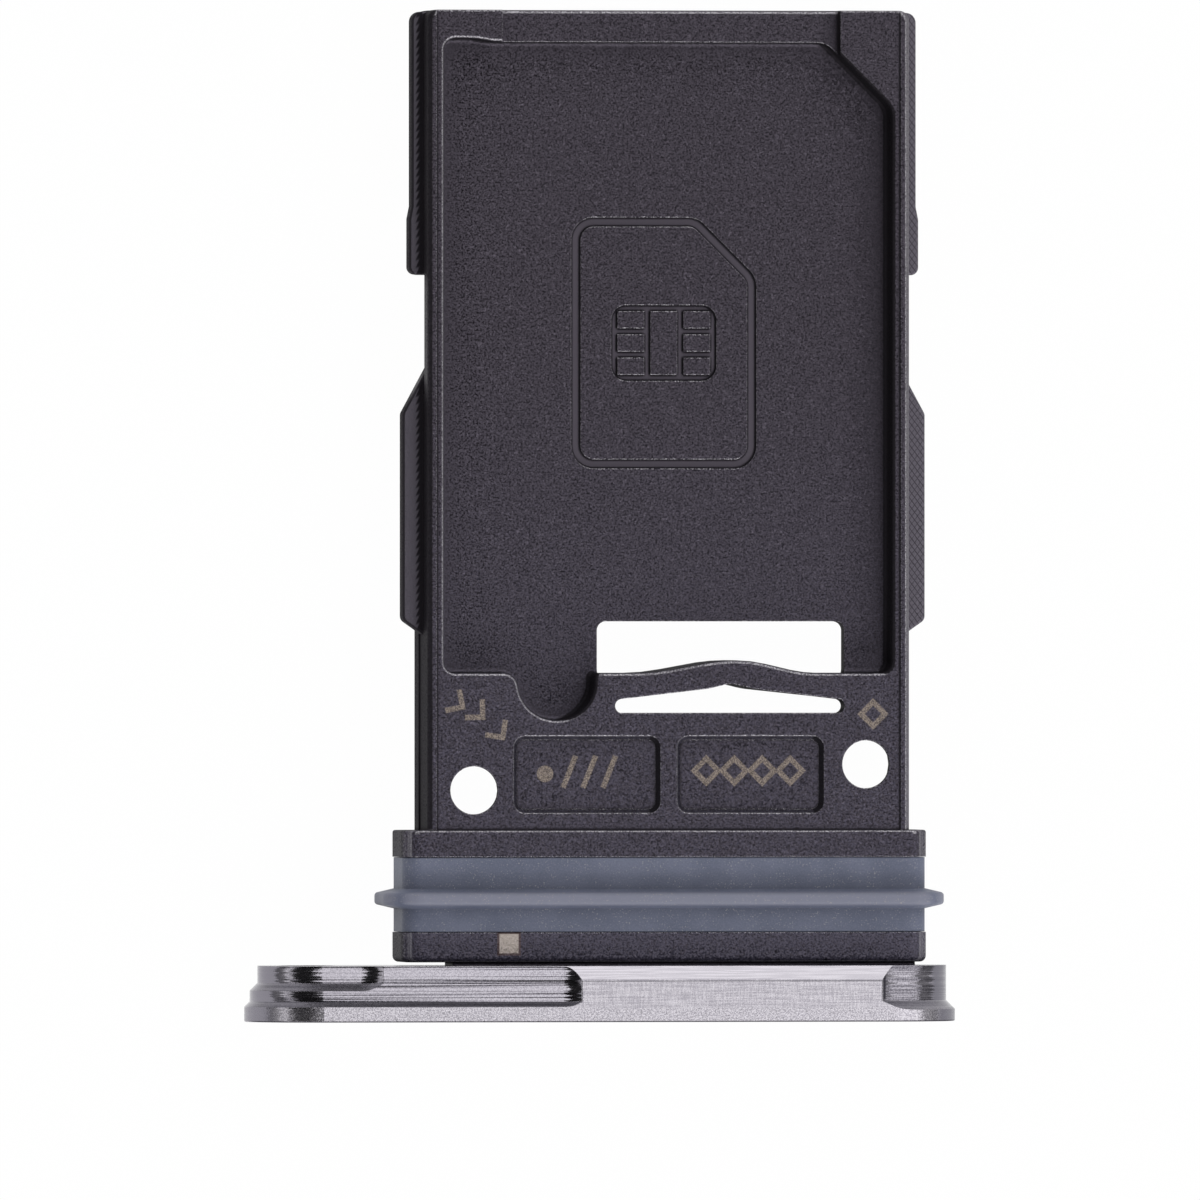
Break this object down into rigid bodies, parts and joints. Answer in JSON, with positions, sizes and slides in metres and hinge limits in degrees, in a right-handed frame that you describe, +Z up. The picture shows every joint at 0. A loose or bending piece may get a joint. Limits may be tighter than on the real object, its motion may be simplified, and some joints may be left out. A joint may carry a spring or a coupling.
{
  "type": "sim card tray",
  "caption": "Flat drawer for phone cards: a dark carrier with a card pocket on each side and a spring arm, a silicone seal round its collar and a metal face plate with an eject hole.",
  "frame": {"origin": "under the middle of the tray's bounding box, level with the lower side of the face plate", "axes": "+Y the way the tray slides in, +X across the tray, +Z up"},
  "size_m": [0.0142, 0.02, 0.0028],
  "materials": {
    "carrier": "fine-grained near-black coating",
    "seal": "smooth grey-blue silicone",
    "face_plate": "milled and lightly blasted"
  },
  "bodies": {
    "root": {"carrier": "carrier", "seal": "seal", "face_plate": "face_plate"}
  },
  "joints": []
}
